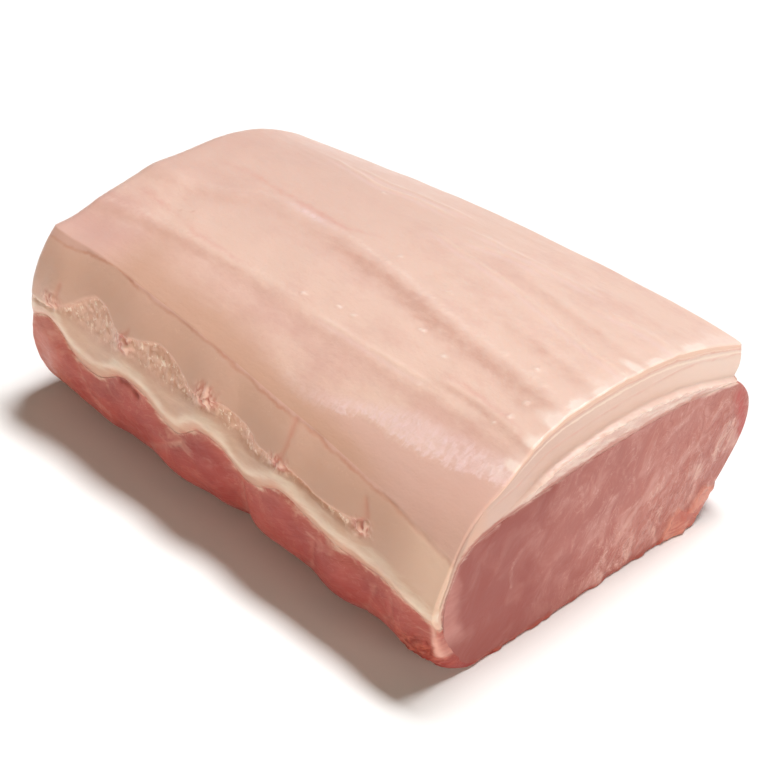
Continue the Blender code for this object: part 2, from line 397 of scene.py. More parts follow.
def far_belly(x, along, up):
    """The lean's far side, which hangs well out over the underside."""
    head = lean_seam(x, along, 1 + 0 * x)
    low = (FAR_FOOT + 10 + 0 * x, 12 + 0 * x)
    return bezier([(FAR_FOOT + 0 * x, 0 * x), low, (head[0] + 28.5, head[1] - 17), head], up)


def underside(x, along, across):
    """The flat strip that the joint rests on."""
    return NEAR_FOOT + (FAR_FOOT - NEAR_FOOT) * across, 0 * x


def fill(below, above, near, far, x, along, across, up):
    """(y, z) inside a section bounded by four curves: their sum, less the corners that it counts twice."""
    zero, one = 0 * x, 0 * x + 1
    filled = []
    for axis in (0, 1):
        edges = (
            (1 - up) * below(x, along, across)[axis]
            + up * above(x, along, across)[axis]
            + (1 - across) * near(x, along, up)[axis]
            + across * far(x, along, up)[axis]
        )
        corners = (
            (1 - across) * (1 - up) * below(x, along, zero)[axis]
            + across * (1 - up) * below(x, along, one)[axis]
            + (1 - across) * up * above(x, along, zero)[axis]
            + across * up * above(x, along, one)[axis]
        )
        filled.append(edges - corners)
    return filled


def lean_section(x, along, across, up):
    return fill(underside, lean_seam, near_belly, far_belly, x, along, across, up)


def fat_section(x, along, across, up):
    return fill(seam, rind, near_wall, far_wall, x, along, across, up)


# --------------------------------------------------------------------------------------------------
# Fine lattices in the section's form
# --------------------------------------------------------------------------------------------------

TAIL, CUT, NEAR, FAR, UNDER, TOP = (0, 0), (0, 1), (1, 0), (1, 1), (2, 0), (2, 1)  # (axis, side) of a lattice
TOUCHING = 1e-5  # shares this close are the same
NEAR_SHARE = 0.04  # share of the section that moves with its near side
CORNER_SHARE = 0.2  # and share that the rounding of the near corner draws in


def on_side(share, side):
    return np.abs(share[..., side[0]] - side[1]) < TOUCHING


def lattice(cells, finer):
    """A cube from 0 to 1 cut into cells. Finer gives the cuts through a cell's edge for sets of sides."""
    mesh = bmesh.new()
    bmesh.ops.create_cube(mesh, size=1)
    bmesh.ops.translate(mesh, verts=mesh.verts, vec=(0.5, 0.5, 0.5))
    for axis, count in enumerate(cells):
        along_axis = [
            edge for edge in mesh.edges if abs(edge.verts[0].co[axis] - edge.verts[1].co[axis]) > 0.5
        ]
        bmesh.ops.subdivide_edges(mesh, edges=along_axis, cuts=count - 1)
    for sides, cuts in finer:
        faces = [
            face
            for face in mesh.faces
            if len(face.verts) == 4
            and any(all(abs(v.co[axis] - end) < TOUCHING for v in face.verts) for axis, end in sides)
        ]
        edges = {edge for face in faces for edge in face.edges}
        bmesh.ops.subdivide_edges(mesh, edges=list(edges), cuts=cuts, use_grid_fill=True)
    mesh.verts.index_update()
    return mesh


def place_layers(share):
    """Places along the joint for shares of its cells, crowded towards either end."""
    from_tail = np.array(END_LAYERS) - HALF
    between = np.linspace(from_tail[-1], -from_tail[-1], END_CELLS - 2 * len(END_LAYERS) + 3)
    places = np.concatenate([from_tail, between[1:-1], -from_tail[::-1]])
    return np.interp(share * END_CELLS, np.arange(END_CELLS + 1), places)


def rounding(distance, radius):
    """How far a rounded edge draws in the face beside it, at a distance from the edge."""
    left = np.clip(radius - distance, 0, radius)
    return radius - np.sqrt(radius**2 - left**2)


class Form:
    """The points of a piece: x, y and z, and the shares of the section that they lie at."""

    def __init__(self, mesh, section):
        self.share = np.array([vertex.co[:] for vertex in mesh.verts])
        self.x = place_layers(self.share[:, 0])
        self.across = self.share[:, 1] - EDGE_CROWDING * np.sin(2 * np.pi * self.share[:, 1]) / (2 * np.pi)
        self.up = self.share[:, 2]
        self.along = self.x / LENGTH + 0.5
        self.y, self.z = section(self.x, self.along, self.across, self.up)
        self.plain = np.stack([self.x, self.y, self.z], axis=1)
        self.near = smoothstep(NEAR_SHARE, 0, self.across)
        self.cut = smoothstep(END_LAYERS[-1], 0, HALF - self.x)

    def fill_cut_corners(self):
        """Stands the near shoulder, the wall's foot and the far corner out towards the cut."""
        x, y, z = self.plain.T
        across, height, reach, out = SHOULDER
        shoulder = out * hill(np.hypot(y - across, z - height), reach) * smoothstep(*SHOULDER_START, x)
        height, half_height, out = NEAR_LIP
        lip = out * hill(z - height, half_height) * self.near * smoothstep(*NEAR_LIP_START, x)
        across, height, reach, out = FAR_CORNER
        far_corner = out * hill(np.hypot(y - across, z - height), reach) * smoothstep(*FAR_CORNER_START, x)
        self.y = self.y - SHOULDER_SLANT * shoulder - lip + far_corner
        self.z = self.z + SHOULDER_SLANT * shoulder

    def round_ends(self):
        """Rounds the rims of both ends and leans the tail back from its belly."""
        low, high = CORNER_RADIUS
        radius = low + (high - low) * smoothstep(*CORNER_HEIGHTS, self.z)
        from_tail, from_cut = self.plain[:, 0] + HALF, HALF - self.plain[:, 0]
        self.y = self.y + rounding(from_cut, radius) * smoothstep(CORNER_SHARE, 0, self.across)
        inset = rounding(from_tail, TAIL_ROUNDING) + rounding(from_cut, CUT_ROUNDING)
        shrink = 2 * inset / WIDTH
        self.y = self.y - shrink * self.y
        self.z = self.z - shrink * (self.z - ROUNDING_CENTRE_Z)
        above = np.clip((self.z - TAIL_BELLY_Z) / (HEIGHT - TAIL_BELLY_Z), 0, 1)
        below = np.clip((TAIL_BELLY_Z - self.z) / TAIL_BELLY_Z, 0, 1)
        tail_share = smoothstep(TAIL_REACH, 0, self.along)
        self.x = self.x + tail_share * (TAIL_LEAN_BACK * above**TAIL_LEAN_POWER + TAIL_TOE * below**2)

    def places(self):
        return np.stack([self.x, self.y, self.z], axis=1)


def link(thing):
    bpy.context.scene.collection.objects.link(thing)


def make_piece(name, mesh, form, looks, materials):
    """The bent lattice as an object, with looks as attributes and (material, sides) pairs in slot order."""
    for vertex, place in zip(mesh.verts, form.places()):
        vertex.co = place * MM
    slot_of = {side: slot for slot, (material, sides) in enumerate(materials) for side in sides}
    for face in mesh.faces:
        corners = form.share[[v.index for v in face.verts]]
        face.material_index = next(slot for side, slot in slot_of.items() if on_side(corners, side).all())
        face.smooth = True
    bmesh.ops.recalc_face_normals(mesh, faces=mesh.faces)
    data = bpy.data.meshes.new(name)
    mesh.to_mesh(data)
    mesh.free()
    for look, values in looks.items():
        layer = data.attributes.new(look, "FLOAT", "POINT")
        layer.data.foreach_set("value", np.ascontiguousarray(values, dtype=np.float32))
    for material, sides in materials:
        data.materials.append(material)
    piece = bpy.data.objects.new(name, data)
    link(piece)
    return piece


# --------------------------------------------------------------------------------------------------
# Materials
# --------------------------------------------------------------------------------------------------


class Value:
    """A socket in a material's node tree. Python's operators on it make the nodes for their maths."""

    def __init__(self, tree, socket):
        self.tree = tree
        self.socket = socket

    def maths(self, operation, *values):
        return make_node(self.tree, "ShaderNodeMath", {"operation": operation}, *values)

    def __add__(self, other):
        return self.maths("ADD", self, other)

    def __radd__(self, other):
        return self.maths("ADD", other, self)

    def __sub__(self, other):
        return self.maths("SUBTRACT", self, other)

    def __rsub__(self, other):
        return self.maths("SUBTRACT", other, self)

    def __mul__(self, other):
        return self.maths("MULTIPLY", self, other)

    def __rmul__(self, other):
        return self.maths("MULTIPLY", other, self)

    def clipped(self):
        return self.maths("MINIMUM", self.maths("MAXIMUM", self, 0), 1)

    def ramp(self, low, high):
        """0 at low, 1 at high and smooth between. Low may be the larger."""
        return make_node(
            self.tree, "ShaderNodeMapRange", {"interpolation_type": "SMOOTHSTEP"}, self, low, high, 0.0, 1.0
        )

    def hill(self, width):
        """1 where this value is 0, fading over the width to either side."""
        return self.maths("ABSOLUTE", self).ramp(width, 0)


def make_node(tree, kind, settings, *inputs, output=0, **named_inputs):
    """A node, its settings made first, then its inputs by order and by name. Returns one of its outputs."""
    node = tree.nodes.new(kind)
    for setting, value in settings.items():
        setattr(node, setting, value)
    places = [socket for socket in node.inputs if socket.enabled]
    wanted = list(zip(places, inputs)) + [(node.inputs[name], value) for name, value in named_inputs.items()]
    for socket, value in wanted:
        if isinstance(value, Value):
            tree.links.new(value.socket, socket)
        elif isinstance(value, tuple) and len(socket.default_value) == 4:
            socket.default_value = (*value, 1)
        else:
            socket.default_value = value
    outputs = [socket for socket in node.outputs if socket.enabled]
    return Value(tree, outputs[output] if isinstance(output, int) else node.outputs[output])


class Finish:
    """One material: its shader and the values that its colour, roughness and bump are made from."""

    def __init__(self, name, **constants):
        self.material = bpy.data.materials.new(name)
        self.material.use_nodes = True
        self.tree = self.material.node_tree
        self.shader = self.tree.nodes["Principled BSDF"]
        for socket, value in constants.items():
            self.shader.inputs[socket.replace("_", " ")].default_value = value
        self.place = self.node("ShaderNodeTexCoord", {}, output="Object")
        self.normal = None

    def node(self, kind, settings, *inputs, **named):
        return make_node(self.tree, kind, settings, *inputs, **named)

    def look(self, name):
        return self.node("ShaderNodeAttribute", {"attribute_name": name}, output="Fac")

    def scaled_place(self, size, stretch=(1, 1, 1), turn=(0, 0, 0)):
        """The place on the joint, turned, and counted in steps of a size stretched along each axis."""
        scale = tuple(1 / (size * MM * factor) for factor in stretch)
        turned = self.node("ShaderNodeMapping", {}, self.place, (0.0, 0.0, 0.0), turn, (1.0, 1.0, 1.0))
        return self.node("ShaderNodeVectorMath", {"operation": "MULTIPLY"}, turned, scale)

    def noise(self, size, detail=3.0, roughness=0.55, stretch=(1, 1, 1), turn=(0, 0, 0), distortion=0.0):
        """Noise about 0.5 with features of a size in millimetres, stretched by a factor along each axis."""
        scaled = self.scaled_place(size, stretch, turn)
        sockets = {"Scale": 1.0, "Detail": detail, "Roughness": roughness, "Distortion": distortion}
        return self.node("ShaderNodeTexNoise", {}, scaled, **sockets)

    def cells(self, size):
        """Distance to the nearest of points scattered about a size in millimetres apart."""
        scaled = self.scaled_place(size)
        return self.node("ShaderNodeTexVoronoi", {"feature": "F1"}, scaled, Scale=1.0, output="Distance")

    def mix(self, share, first, second):
        """The first colour, turning to the second as the share goes to 1."""
        return self.node("ShaderNodeMix", {"data_type": "RGBA"}, share, first, second)

    def bump(self, height):
        """Adds relief, from a height in millimetres, to the normal."""
        inputs = {"Height": height * MM, "Distance": 1.0, "Strength": 1.0}
        if self.normal:
            inputs["Normal"] = self.normal
        self.normal = self.node("ShaderNodeBump", {}, **inputs)

    def finish(self, colour, roughness, coat=None):
        """Feeds the shader and returns the material."""
        wanted = {"Base Color": colour, "Roughness": roughness, "Normal": self.normal, "Coat Weight": coat}
        for socket, value in wanted.items():
            if isinstance(value, Value):
                self.tree.links.new(value.socket, self.shader.inputs[socket])
            elif value is not None:
                self.shader.inputs[socket].default_value = value
        return self.material


# --------------------------------------------------------------------------------------------------
# Rind, side fat and cut fat: relief
# --------------------------------------------------------------------------------------------------

# A look is a value at each point of a piece that its finish reads. The names below are places,
# heights and depths of the relief.

# Near wall.
FAR_OFF = 60  # keeps the looks of the near edge away from the far side
TEAR_CLOSING = (79, 72)  # the tear fades out between these places along the joint
LUMP_HEIGHT = 0.5
STREAK_GRAIN = 0.15
KNOT_HEIGHT = 2.0
VEIN_DEPTH = 0.25
BROAD_WALL_WAVES = 0.35
FINE_WAVES = 0.12

# Rind.
TAIL_END = (-78, -98)  # the rind swells and sinks past these places along the joint
TAIL_SWELLS = ((-17, 11, 1.5), (-53, 10, -1.7))  # place across, half width, height
FAR_DIP = (45, 40, 0.9)  # place along, half length, depth
BROAD_RIND_WAVES = 0.4
DRAWN_RIND_WAVES = 0.12
GRAIN_HEIGHT = 0.45
STUBBLE_HEIGHT = 0.22
SHADE_OFFSET = 1.8  # a fold's shade lies this many widths beside it

# Cut face.
LEDGE_START = (-48, -22)  # the ledge opens between these places across
LIP_START = (-57, -44)  # and the layers of the cut rind between these
SKIN_LIP = 0.35
SKIN_GROOVE = 0.12
PINK_GROOVE = 0.15
LEDGE_LIP = 0.4
CRUMB_HEIGHT = 0.55
FINE_CUT_WAVES = 0.16


def depth_under_rind(form):
    """How far each point lies below the rind's dome."""
    x, _, z = form.plain.T
    return rind(x, form.along, form.across)[1] - z


def shape_near_wall(form, ragged, broad):
    """Gives the wall of fat its tear, tufts, streak and veins, and returns their looks. Push is inwards."""
    x, y, z = form.plain.T
    far_off = FAR_OFF * smoothstep(-20, 20, y)
    edge_z = rind(x, form.along, 0 * x)[1]
    below_edge = edge_z - z - follow(EDGE_DROP, x) + 0.5 * ragged - far_off
    skin_edge = follow(EDGE_DROP, x) * form.near + SKIN_THICKNESS * (1 - form.near)
    above_tear = z - follow(TEAR_TOP, x) - 0.9 * ragged
    above_foot = z - follow(TEAR_FOOT, x) - 0.6 * ragged
    rise = above_foot / np.maximum(above_foot - above_tear, 1.0)
    closing = smoothstep(*TEAR_CLOSING, x)
    bloody = sum(oval(x, z, tuft) for tuft in BLOODY_TUFTS) * form.near
    tear = smoothstep(-0.15, 0.55, rise) * smoothstep(0.25, -0.55, above_tear) * closing
    tear = tear * form.near * (1 - 0.7 * np.clip(bloody, 0, 1))

    shreds = mottle(form.plain, 3.4, 3, 2, stretch=(1, 1, 1.3))
    puffs = mottle(form.plain, 2.4, 19, 2, stretch=(1, 1, 1.2))
    lumps = np.abs(shreds) + 0.8 * np.abs(puffs)
    push = TEAR_DEPTH * tear - LUMP_HEIGHT * tear * lumps
    push = push - TEAR_LIP * hill(above_tear - 0.8, 1.1) * closing
    above_streak = z - (follow(TEAR_FOOT, x) + follow(LEAN_TOP, x)) / 2
    streaks = mottle(form.plain, 3.4, 6, 3, stretch=(3.5, 1, 1))
    push = push - STREAK_BULGE * hill(above_streak, 3.6)
    push = push + STREAK_GRAIN * streaks * hill(above_streak, 4.5)
    push = push * smoothstep(-HALF, -101, x) + BROAD_WALL_WAVES * broad + FINE_WAVES * ragged
    push = push + EDGE_CREASE * hill(below_edge, 0.6) * (0.6 + 0.5 * ragged)
    knots = np.abs(mottle(form.plain, 2.4, 23, 2, stretch=(1, 1, 1.5)))
    push = push - bloody * (0.1 + KNOT_HEIGHT * knots)
    veins = sum(hill(near_line(path, x, z) + 0.5 * shreds, 1.0) for path in VEINS) * form.near
    push = push + VEIN_DEPTH * veins
    form.y = form.y + form.near * push * smoothstep(1.0, 0.985, form.up) * smoothstep(0, 0.07, form.up)
    return {
        "below_edge": below_edge,
        "below_skin": depth_under_rind(form) - skin_edge + 0.5 * ragged,
        "above_tear": above_tear,
        "above_foot": above_foot,
        "above_seam": z - seam(x, form.along, form.across)[1],
        "on_near": form.near,
        "past_middle": smoothstep(-60, 20, x),
        "by_corner": smoothstep(78, 106, x),
        "tear": tear,
        "lumps": lumps,
        "bloody": bloody,
        "knots": knots,
        "veins": veins,
    }


def shape_rind(form, ragged, broad):
    """Raises the furrows, the folds and the grains of the rind, and returns its looks."""
    x, y, _ = form.plain.T
    drawn = mottle(form.plain, 6, 4, 3, stretch=(6, 1, 1))
    stubble = mottle(form.plain, 1.6, 18, 2)
    grains = sum(hill(np.hypot((x - u) / 1.4, y - v) + 0.8 * stubble, 0.55) for u, v in SPECKS)
    rise = BROAD_RIND_WAVES * broad + DRAWN_RIND_WAVES * drawn + GRAIN_HEIGHT * grains
    at_tail = smoothstep(*TAIL_END, x)
    rise = rise + at_tail * sum(height * hill(y - across, width) for across, width, height in TAIL_SWELLS)
    dip_x, dip_length, dip_depth = FAR_DIP
    rise = rise - dip_depth * smoothstep(30, 55, y) * hill(x - dip_x, dip_length)

    furrows, furrow_edges = 0, 0
    for path, strengths, width, depth in FURROWS:
        strength = follow(strengths, x) * (x >= path[0][0])
        offset = (y - follow(path, x) - 0.6 * ragged) / width
        rise = rise + depth * strength * offset * np.exp(0.5 - offset * offset)
        furrows = furrows + strength * hill(np.where(offset > 0, 1.4, 0.8) * offset, 0.95)
        furrow_edges = furrow_edges + strength * hill(offset * width - width - 1.0, 1.4)
    rise = rise + STUBBLE_HEIGHT * furrow_edges * smoothstep(0.2, 0.6, stubble)

    folds, fold_shades = 0, 0
    for path, height, width in FOLDS:
        offset = y - follow(path, x)
        shown = span(path, x)
        rise = rise + height * hill(offset - 0.25 * ragged, width) * shown
        folds = folds + height / 0.5 * hill((offset - 0.25 * ragged) / width, 0.8) * shown
        fold_shades = fold_shades + hill((offset + SHADE_OFFSET * width) / width, 0.9) * shown
    form.z = form.z + smoothstep(0.7, 1, form.up) * rise
    return {
        "furrows": furrows,
        "furrow_edges": furrow_edges,
        "stubble": stubble,
        "grains": grains,
        "folds": folds,
        "fold_shades": fold_shades,
        "pink_lines": sum(hill(y - follow(p, x) - 0.8 * ragged, 1.3) * span(p, x) for p in PINK_LINES),
        "marks": sum(hill(np.hypot(x - u, y - v), 0.6) for u, v in SMALL_MARKS),
        "pale_patch": oval(x, y, PALE_PATCH),
        "highlight_patches": sum(oval(x, y, patch) for patch in HIGHLIGHT_PATCHES),
        "above_flank": y - follow(FLANK_TOP, x),
        "below_lavender": follow(LAVENDER_TOP, x) - y,
        "towards_cut": smoothstep(0, 45, x),
        "past_cut": x - 104,
        "far_tail_shade": smoothstep(70, -70, x) * smoothstep(-45, -5, y),
        "past_tail": smoothstep(-85, -60, x) * smoothstep(84, 52, x),
        "pinkness": smoothstep(-32, -39, y + ragged) * 0.7 + smoothstep(-40, -105, x) * 0.6 + 0.4 * broad,
    }


def shape_cut_fat(form, ragged):
    """Gives the cut fat its ledge and layers, and returns its looks. Back is into the joint."""
    _, y, z = form.plain.T
    under_rind = depth_under_rind(form)
    above_ledge = z - follow(LEDGE, y) - 0.35 * ragged
    above_pink = z - follow(PINK_LAYER, y)
    on_ledge = smoothstep(*LEDGE_START, y)
    lip = smoothstep(*LIP_START, y)
    fine = mottle(form.plain, 2.2, 5, 3)
    gathered = smoothstep(0.1, 0.7, mottle(form.plain, 3.2, 21, 4))
    crumbs = hill(above_ledge + 0.6, 1.0) * on_ledge * gathered
    back = LEDGE_STEP * smoothstep(-0.3, 0.6, above_ledge) * on_ledge
    back = back - SKIN_LIP * lip * hill(under_rind - 1.0 + 0.5 * ragged, 0.9)
    back = back + SKIN_GROOVE * lip * hill(under_rind - SKIN_THICKNESS + 0.7 * ragged, 0.5)
    back = back + PINK_GROOVE * lip * hill(above_pink + 0.5 * ragged, 0.6)
    back = back - LEDGE_LIP * on_ledge * hill(above_ledge + 0.5, 0.7)
    back = back + FINE_WAVES * ragged + FINE_CUT_WAVES * fine * smoothstep(0.5, -1, above_ledge)
    back = back - CRUMB_HEIGHT * crumbs
    form.x = form.x - form.cut * back * smoothstep(0, 0.06, form.up)
    return {
        "under_rind": under_rind,
        "above_ledge": above_ledge,
        "above_pink": above_pink,
        "on_ledge": on_ledge,
        "lip": lip,
        "crumbs": crumbs,
        "from_near": y,
    }


def shape_rind_and_fat(form):
    """Gives the form its relief and its rounded ends, and returns the looks of all its sides."""
    ragged = mottle(form.plain, 7, 1, 3)
    broad = mottle(form.plain, 26, 2, 2)
    looks = shape_near_wall(form, ragged, broad)
    looks.update(shape_rind(form, ragged, broad))
    looks.update(shape_cut_fat(form, ragged))
    form.fill_cut_corners()
    form.round_ends()
    return looks


# --------------------------------------------------------------------------------------------------
# Rind, side fat and cut fat: finishes
# --------------------------------------------------------------------------------------------------

FAT_GLOW = (1.0, 0.6, 0.45)  # how far red, green and blue light spread inside fat
MEMBRANE_SLANT = (0, 0.5, 0)

RIND_CREAM = (0.815, 0.572, 0.48)
RIND_PINK = (0.70, 0.425, 0.365)
RIND_TAIL_SHADE = (0.72, 0.48, 0.405)
RIND_PAINTED_SHADE = (0.67, 0.405, 0.33)
RIND_RIDGE_HIGHLIGHT = (0.90, 0.69, 0.60)
RIND_LAVENDER = (0.86, 0.625, 0.61)
FLANK_TAN_SHADE = (0.711, 0.444, 0.374)
EDGE_TAN_SHADE = (0.60, 0.355, 0.255)
FOLD_CREST_HIGHLIGHT = (0.86, 0.64, 0.53)
LINE_PINK = (0.70, 0.36, 0.30)
MARK_BROWN = (0.55, 0.26, 0.18)
GRAIN_GLINT_WHITE = (0.97, 0.85, 0.78)
CUT_RIM_HIGHLIGHT = (0.93, 0.76, 0.68)

SIDE_FAT = (0.705, 0.447, 0.355)
SIDE_FAT_BLOTCH = (0.67, 0.41, 0.31)
SIDE_FAT_MIDDLE = (0.615, 0.382, 0.292)
SIDE_FAT_CORNER = (0.81, 0.58, 0.465)
CREASE_PINK = (0.60, 0.29, 0.21)
CREASE_CRUMB_GLINT = (0.90, 0.68, 0.50)
INNER_FAT = (0.74, 0.50, 0.38)
INNER_FAT_PINK = (0.70, 0.42, 0.32)
STREAK_CREAM = (0.86, 0.69, 0.57)
THIN_FAT_PINK = (0.66, 0.35, 0.275)
SEAM_RED = (0.60, 0.20, 0.15)
MEMBRANE_PINK = (0.70, 0.39, 0.29)
MEMBRANE_CREAM = (0.80, 0.51, 0.39)
MEMBRANE_HOLLOW_SHADE = (0.70, 0.36, 0.27)
MEMBRANE_FLECK_GLINT = (0.95, 0.78, 0.66)
TEAR_EDGE_SHADOW_PINK = (0.62, 0.32, 0.25)
TUFT_RED_SHADE = (0.58, 0.17, 0.13)
TUFT_PINK_HIGHLIGHT = (0.90, 0.58, 0.48)
VEIN_RED = (0.62, 0.27, 0.20)

CUT_FAT_NEAR = (0.68, 0.465, 0.40)
CUT_FAT_MIDDLE = (0.80, 0.575, 0.50)
CUT_FAT_FAR = (0.86, 0.67, 0.595)
CUT_SKIN = (0.79, 0.54, 0.44)
SKIN_SHADOW_LINE_PINK = (0.74, 0.42, 0.34)
WHITE_LINE = (0.94, 0.77, 0.67)
PINK_LAYER_LINE = (0.76, 0.42, 0.36)
LEDGE_PINK = (0.72, 0.46, 0.41)
LEDGE_CREAM = (0.83, 0.64, 0.575)
LEDGE_CRUMB_HIGHLIGHT = (0.90, 0.73, 0.65)
CUT_SEAM_NEAR = (0.46, 0.175, 0.14)
CUT_SEAM_FAR = (0.62, 0.31, 0.26)


def rind_finish():
    skin = Finish(
        "rind_skin", Subsurface_Weight=0.25, Subsurface_Scale=0.0012, Subsurface_Radius=FAT_GLOW, IOR=1.42
    )
    blotches = skin.noise(16, 3, 0.5, stretch=(2.4, 1, 1))
    small = skin.noise(3.5, 4, 0.6, stretch=(1.6, 1, 1))
    long_streaks = skin.noise(2.2, 4, 0.6, stretch=(12, 1, 1))
    pebbles = skin.noise(1.3, 3, 0.6, stretch=(1.4, 1, 1))
    strokes = skin.noise(1.7, 4, 0.6, stretch=(1, 1.9, 1.9), distortion=0.6)
    ripples = skin.noise(2.6, 4, 0.6, stretch=(2.2, 1, 1))
    sheen = skin.noise(5, 3, 0.6)
    pores = skin.cells(0.9)
    towards_cut = skin.look("towards_cut")

    tones = (blotches - 0.5) * 1.7 + (small - 0.5) * 0.8 + (long_streaks - 0.5) * 0.3
    pinkness = (skin.look("pinkness") * 0.75 + tones + (pebbles - 0.5) * 0.5).clipped()
    colour = skin.mix(pinkness, RIND_CREAM, RIND_PINK)
    # Painted shade: the rind turns darker towards the tail, away from its near edge.
    colour = skin.mix(skin.look("far_tail_shade") * 0.75, colour, RIND_TAIL_SHADE)

    # Painted shade on the furrows' near slopes, in a darker pinkish tan.
    furrows = skin.look("furrows")
    shade = (furrows * (0.9 + (small - 0.5) * 2.4) + (blotches - 0.5) * 0.5 * furrows).clipped()
    colour = skin.mix(shade, colour, RIND_PAINTED_SHADE)
    # Painted highlight along the furrows' raised upper edges, broken by stubble.
    ridges = skin.look("furrow_edges") * (skin.look("stubble") * 0.8 + 0.45 + (small - 0.5)).clipped()
    colour = skin.mix((ridges * 0.6).clipped(), colour, RIND_RIDGE_HIGHLIGHT)

    # Tan on the near shoulder, partly painted shade where it turns away from the light.
    wander = (small - 0.5) * 7 + (strokes - 0.5) * 4.5 * towards_cut + (blotches - 0.5) * 10
    above_flank = skin.look("above_flank") + wander
    flank = above_flank.ramp(3.0 - 2.0 * towards_cut, -3.0)
    colour = skin.mix(flank * (0.75 + 0.1 * towards_cut), colour, FLANK_TAN_SHADE)
    patch = skin.look("below_lavender").ramp(-2, 3) * above_flank.ramp(-1.2, 0.8) * towards_cut
    patch = (patch + skin.look("pale_patch")).clipped()
    lavender = patch * (0.4 + (strokes - 0.5) * 3.0).clipped()
    colour = skin.mix((patch * 0.25 + lavender * 0.72).clipped(), colour, RIND_LAVENDER)

    # Tan just above the skin's edge, partly painted shade, strongest next to the edge.
    tan = (skin.look("below_edge") + (blotches - 0.5) * 3).ramp(-8.5, -2.0)
    colour = skin.mix(tan * skin.look("past_tail") * 0.8, colour, EDGE_TAN_SHADE)
    # Painted shade beside each fold, in the rind's lavender.
    colour = skin.mix((skin.look("fold_shades") * 0.3).clipped(), colour, RIND_LAVENDER)
    # Painted highlight on the folds' crests.
    colour = skin.mix((skin.look("folds") * small * 0.9).clipped(), colour, FOLD_CREST_HIGHLIGHT)
    pink_lines = skin.look("pink_lines") * (small * 1.6 + blotches * 1.2 - 0.9).clipped()
    colour = skin.mix(pink_lines * 0.8, colour, LINE_PINK)
    colour = skin.mix((skin.look("marks") * 0.4).clipped(), colour, MARK_BROWN)
    # Pale grains with painted white glints.
    colour = skin.mix((skin.look("grains") * (small * 2 - 0.3)).clipped() * 0.8, colour, GRAIN_GLINT_WHITE)

    # Painted highlights on the rind by the cut: over its rim and where the ridges end.
    near_cut = skin.look("past_cut") + (small - 0.5) * 16 + (blotches - 0.5) * 30
    cut_edge_highlight = near_cut.ramp(-5, 3) * above_flank.ramp(-2, 8) * (0.55 - furrows * 0.5)
    highlight_patches = skin.look("highlight_patches")
    patches = (highlight_patches * 1.6 + (small - 0.5) * 1.2 - 0.25).clipped() * highlight_patches.ramp(0.05, 0.3)
    colour = skin.mix((cut_edge_highlight + patches).clipped() * 0.85, colour, CUT_RIM_HIGHLIGHT)
    skin.bump(long_streaks * 0.03 + ripples * 0.14 + strokes * lavender * 0.1)
    skin.bump(pores * 0.02 + pebbles * 0.05)
    return skin.finish(colour, 0.40 + (sheen - 0.5) * 0.4)


def colour_inner_fat(fat, colour, inner, streaks, broad):
    """The streak of inner fat below the tear, thinning to pink over the lean and red at the seam."""
    above_lean = fat.look("above_seam")
    on_near = fat.look("on_near")
    patches = ((fat.noise(8, 3, 0.6, stretch=(2, 1, 1)) - 0.5) * 3).clipped()
    fingers = fat.noise(3.0, 3, 0.6, stretch=(2.2, 1, 1))
    colour = fat.mix(inner * (0.6 + (streaks - 0.5) * 1.8).clipped(), colour, INNER_FAT)
    colour = fat.mix(inner * patches * 0.5, colour, INNER_FAT_PINK)
    bright = (above_lean - 6.2 + (streaks - 0.5) * 7).hill(3.4) * (0.3 + broad * 1.1)
    colour = fat.mix((bright * (0.2 + on_near * 0.8) * 0.85).clipped(), colour, STREAK_CREAM)
    over_lean = (above_lean + (fingers - 0.5) * 5.0).ramp(5.0, 1.0) * on_near * (patches * 0.6 + 0.2)
    colour = fat.mix(over_lean, colour, THIN_FAT_PINK)
    near_lean = (above_lean + (fingers - 0.5) * 8.0).ramp(1.8, -1.8)
    return fat.mix(near_lean, colour, SEAM_RED)


def colour_membrane(fat, colour, tear, shreds, bloody, broad, gaps):
    """The torn membrane with painted shade in its hollows, painted glints on its flecks and a painted shadow
    line along its top, its bloody tufts and the veins above it.
    """
    colour = fat.mix(tear * 0.8, colour, fat.mix(shreds.ramp(0.36, 0.62), MEMBRANE_PINK, MEMBRANE_CREAM))
    # Painted shade in the hollows between the lumps.
    colour = fat.mix(tear * fat.look("lumps").ramp(0.35, 0.0) * 0.5, colour, MEMBRANE_HOLLOW_SHADE)
    # Painted glints: small pale flecks on the membrane.
    fleck_glints = (fat.noise(1.3, 2, 0.6, stretch=(1, 1, 1.8), turn=MEMBRANE_SLANT) - 0.58).ramp(0, 0.05)
    colour = fat.mix(tear * fleck_glints * broad * 1.4, colour, MEMBRANE_FLECK_GLINT)
    # Painted shadow along the top of the tear, under the wall's overhanging edge.
    tear_edge_shadow = fat.look("above_tear").hill(0.6) * (gaps * 0.9) * tear.ramp(0.0, 0.5)
    colour = fat.mix(tear_edge_shadow, colour, TEAR_EDGE_SHADOW_PINK)
    # Tufts pale pink on the knots' tops and red between them: pink and red tissue with painted highlight and
    # shade.
    tufts = fat.mix(fat.look("knots").ramp(0.05, 0.36), TUFT_RED_SHADE, TUFT_PINK_HIGHLIGHT)
    colour = fat.mix(bloody * 0.85, colour, tufts)
    return fat.mix((fat.look("veins") * 0.55).clipped(), colour, VEIN_RED)


